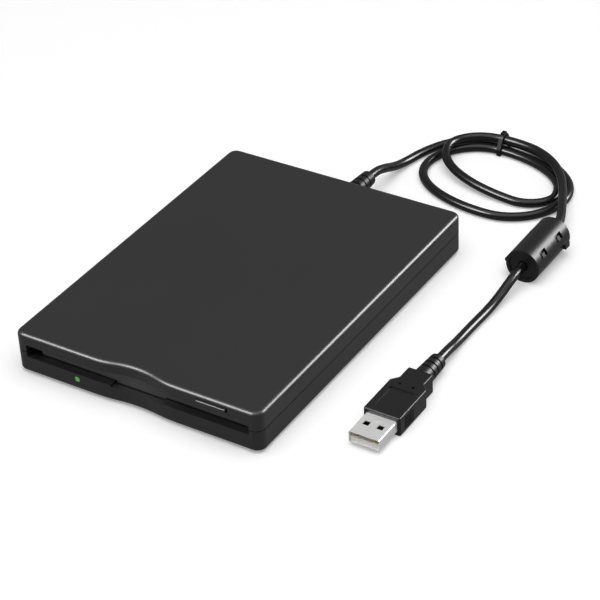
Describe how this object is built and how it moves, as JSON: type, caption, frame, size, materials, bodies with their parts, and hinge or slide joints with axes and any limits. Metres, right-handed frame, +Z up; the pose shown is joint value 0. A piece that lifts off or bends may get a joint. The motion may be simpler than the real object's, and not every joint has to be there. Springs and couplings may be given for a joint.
{
  "type": "external floppy disk drive",
  "caption": "Flat boxed disk drive with a flap-covered front slot, an eject key, a status light and a looped lead that ends in a flat metal plug.",
  "frame": {"origin": "on the table under the middle of the drive's case, which stands on its feet", "axes": "-Y towards the disk slot, +Y towards the lead, +Z up, +X towards the eject key"},
  "size_m": [0.1405, 0.22, 0.017],
  "materials": {
    "case_black": "fine matte moulded",
    "rubber_black": "matte",
    "flap_black": "satin moulded",
    "button_black": "satin moulded",
    "light_green": "lit translucent",
    "screw_steel": "zinc plated",
    "frame_steel": "galvanised sheet",
    "lever_white": "moulded",
    "spring_steel": "drawn wire",
    "bush_brass": "turned",
    "core_steel": "stacked sheet",
    "winding_copper": "lacquered copper wire",
    "rotor_steel": "pressed",
    "rod_steel": "ground",
    "carriage_aluminium": "cast",
    "arm_steel": "spring sheet",
    "head_ceramic": "ground ceramic",
    "motor_can": "drawn can",
    "ribbon": "polyimide film",
    "socket_white": "moulded",
    "switch_black": "moulded",
    "plunger_white": "moulded",
    "board_green": "lacquered board",
    "chip_black": "moulded",
    "can_steel": "drawn can",
    "cord_black": "satin extruded",
    "relief_black": "satin moulded",
    "tie_black": "moulded",
    "ferrite_black": "satin moulded",
    "ferrite_core": "sintered",
    "grip_black": "satin moulded",
    "plug_steel": "nickel plated sheet",
    "contact_gold": "gold plated"
  },
  "bodies": {
    "case": {"top_shell": "case_black", "bottom_shell": "case_black", "rubber_feet": "rubber_black", "status_light": "light_green", "case_screws": "screw_steel", "chassis_screws": "screw_steel", "chassis_frame": "frame_steel", "motor_bracket": "frame_steel", "slide_springs": "spring_steel", "flap_spring": "spring_steel", "spindle_bush": "bush_brass", "stator_core": "core_steel", "stator_coils": "winding_copper", "guide_rod": "rod_steel", "step_motor": "motor_can", "head_ribbon": "ribbon", "ribbon_cable": "ribbon", "ribbon_sockets": "socket_white", "plug_tongue": "socket_white", "switch_housings": "switch_black", "drive_board": "board_green", "usb_board": "board_green", "drive_board_chips": "chip_black", "usb_controller_chip": "chip_black", "usb_board_parts": "chip_black", "crystal_can": "can_steel", "cord_lead": "cord_black", "cord_coil": "cord_black", "cord_tail": "cord_black", "strain_relief": "relief_black", "plug_boot": "relief_black", "cable_tie": "tie_black", "ferrite_cover_lower": "ferrite_black", "ferrite_core_lower": "ferrite_core", "plug_grip": "grip_black", "plug_shell": "plug_steel", "plug_contacts": "contact_gold"},
    "slide": {"slide_plate": "frame_steel", "eject_button": "button_black"},
    "holder": {"disk_holder": "frame_steel"},
    "lever": {"shutter_lever": "lever_white"},
    "flap": {"dust_flap": "flap_black"},
    "spindle": {"spindle_rotor": "rotor_steel", "spindle_hub": "rotor_steel"},
    "carriage": {"head_carriage": "carriage_aluminium", "lower_head": "head_ceramic"},
    "arm": {"upper_arm": "arm_steel", "upper_head": "head_ceramic"},
    "screw_shaft": {"lead_screw": "rod_steel"},
    "write_protect": {"write_protect_plunger": "plunger_white"},
    "density": {"density_plunger": "plunger_white"},
    "disk_in": {"disk_in_plunger": "plunger_white"},
    "ferrite_lid": {"ferrite_cover_upper": "ferrite_black", "ferrite_core_upper": "ferrite_core"}
  },
  "joints": [
    {"name": "eject_slide", "type": "slide", "parent": "case", "child": "slide", "axis": [0, -1, 0], "range_m": [0, 0.0055]},
    {"name": "holder_lift", "type": "slide", "parent": "case", "child": "holder", "axis": [0, 0, -1], "range_m": [0, 0.0019]},
    {"name": "shutter_lever_turn", "type": "hinge", "parent": "holder", "child": "lever", "pos_m": [0.041, 0.024, 0.0135], "axis": [0, 0, 1], "range_deg": [-84, 0], "stiffness_Nm_per_rad": 0.004, "springref_deg": 2.86},
    {"name": "flap_swing", "type": "hinge", "parent": "case", "child": "flap", "pos_m": [0, -0.0671, 0.013], "axis": [1, 0, 0], "range_deg": [0, 80], "stiffness_Nm_per_rad": 0.0008, "springref_deg": -17.19},
    {"name": "spindle_spin", "type": "hinge", "parent": "case", "child": "spindle", "pos_m": [0, -0.018, 0.006], "axis": [0, 0, 1], "continuous": true},
    {"name": "head_travel", "type": "slide", "parent": "case", "child": "carriage", "axis": [0, -1, 0], "range_m": [0, 0.0148]},
    {"name": "arm_lift", "type": "hinge", "parent": "carriage", "child": "arm", "pos_m": [0, 0.047, 0.0134], "axis": [1, 0, 0], "range_deg": [0, 9.5]},
    {"name": "screw_turn", "type": "hinge", "parent": "case", "child": "screw_shaft", "pos_m": [0.014, 0.03, 0.007], "axis": [0, 1, 0], "range_deg": [0, 1776]},
    {"name": "write_protect_press", "type": "slide", "parent": "case", "child": "write_protect", "axis": [0, 0, -1], "range_m": [0, 0.0009], "stiffness_N_per_m": 120, "springref_m": -0.0008},
    {"name": "density_press", "type": "slide", "parent": "case", "child": "density", "axis": [0, 0, -1], "range_m": [0, 0.0009], "stiffness_N_per_m": 120, "springref_m": -0.0008},
    {"name": "disk_in_press", "type": "slide", "parent": "case", "child": "disk_in", "axis": [0, 0, -1], "range_m": [0, 0.0009], "stiffness_N_per_m": 120, "springref_m": -0.0008},
    {"name": "ferrite_open", "type": "hinge", "parent": "case", "child": "ferrite_lid", "pos_m": [0.07405, 0.0755, 0.0068], "axis": [0, -1, 0], "range_deg": [0, 95]}
  ],
  "couplings": [
    {"joint": "holder_lift", "follows": "eject_slide", "ratio": 0.34546},
    {"joint": "arm_lift", "follows": "eject_slide", "rad_per_m": 30.147},
    {"joint": "screw_turn", "follows": "head_travel", "rad_per_m": 2094.4}
  ]
}
